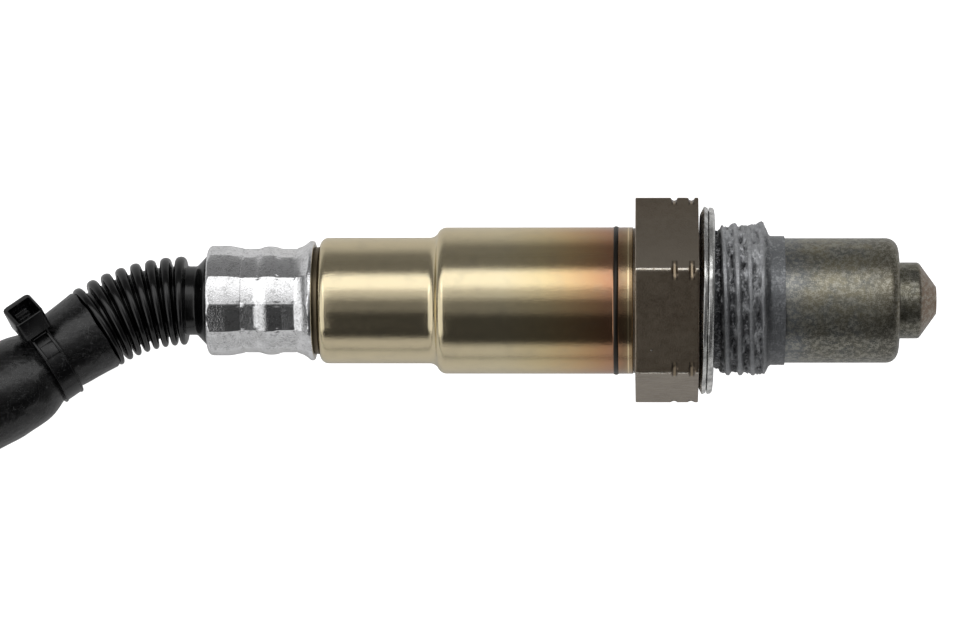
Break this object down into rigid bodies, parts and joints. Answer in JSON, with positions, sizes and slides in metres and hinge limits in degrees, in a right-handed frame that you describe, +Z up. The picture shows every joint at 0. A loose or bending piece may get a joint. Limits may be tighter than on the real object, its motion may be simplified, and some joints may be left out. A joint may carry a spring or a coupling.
{
  "type": "oxygen sensor",
  "caption": "Threaded exhaust gas sensor with hexagon, crush washer, stepped steel sleeve, crimped collar, bellows boot and a short hose to its connector.",
  "frame": {"origin": "middle of the sensor's bounding box in plan, on the surface it lies on; the hose and what hangs on it are not counted", "axes": "+X towards the exhaust end of the sensor, +Y across it to the left, +Z up from the surface that the sensor lies on"},
  "size_m": [0.3845, 0.0501, 0.023],
  "materials": {
    "dark_steel": "matt, heat-browned",
    "washer_steel": "worn",
    "tube_steel": "oxidised, fine grain",
    "sleeve_steel": "drawn, straw-tinted by heat",
    "bright_steel": "bright",
    "contact_alloy": "satin",
    "pin_alloy": "tinned",
    "ceramic": "matt",
    "talc": "pressed powder",
    "grommet_rubber": "matt",
    "boot_rubber": "satin",
    "hose_rubber": "matt",
    "tie_plastic": "satin",
    "connector_plastic": "matt",
    "lock_plastic": "matt",
    "seal_rubber": "matt",
    "insulation_grey": "satin",
    "insulation_white": "satin",
    "insulation_black": "satin",
    "insulation_yellow": "satin",
    "insulation_red": "satin"
  },
  "bodies": {
    "root": {"sensor_housing": "dark_steel", "crush_washer": "washer_steel", "outer_protection_tube": "tube_steel", "inner_protection_tube": "tube_steel", "sensing_element": "ceramic", "front_ceramic_bush": "ceramic", "talc_packing": "talc", "rear_ceramic_bush": "ceramic", "packing_spring_washer": "washer_steel", "contact_holder_upper": "ceramic", "contact_holder_lower": "ceramic", "contact_clip": "contact_alloy", "contact_strip_1": "contact_alloy", "contact_strip_2": "contact_alloy", "contact_strip_3": "contact_alloy", "contact_strip_4": "contact_alloy", "contact_strip_5": "contact_alloy", "protective_sleeve": "sleeve_steel", "crimp_collar": "bright_steel", "wire_grommet": "grommet_rubber", "bellows_boot": "boot_rubber", "sensor_lead_grey": "insulation_grey", "sensor_lead_white": "insulation_white", "sensor_lead_black": "insulation_black", "sensor_lead_yellow": "insulation_yellow", "sensor_lead_red": "insulation_red", "harness_hose": "hose_rubber", "cable_tie": "tie_plastic", "connector_lead_grey": "insulation_grey", "connector_lead_white": "insulation_white", "connector_lead_black": "insulation_black", "connector_lead_yellow": "insulation_yellow", "connector_lead_red": "insulation_red", "connector_housing": "connector_plastic", "connector_rear_cover": "connector_plastic", "wire_seal": "seal_rubber", "secondary_lock": "lock_plastic", "terminal_pin_1": "pin_alloy", "terminal_pin_2": "pin_alloy", "terminal_pin_3": "pin_alloy", "terminal_pin_4": "pin_alloy", "terminal_pin_5": "pin_alloy"}
  },
  "joints": []
}
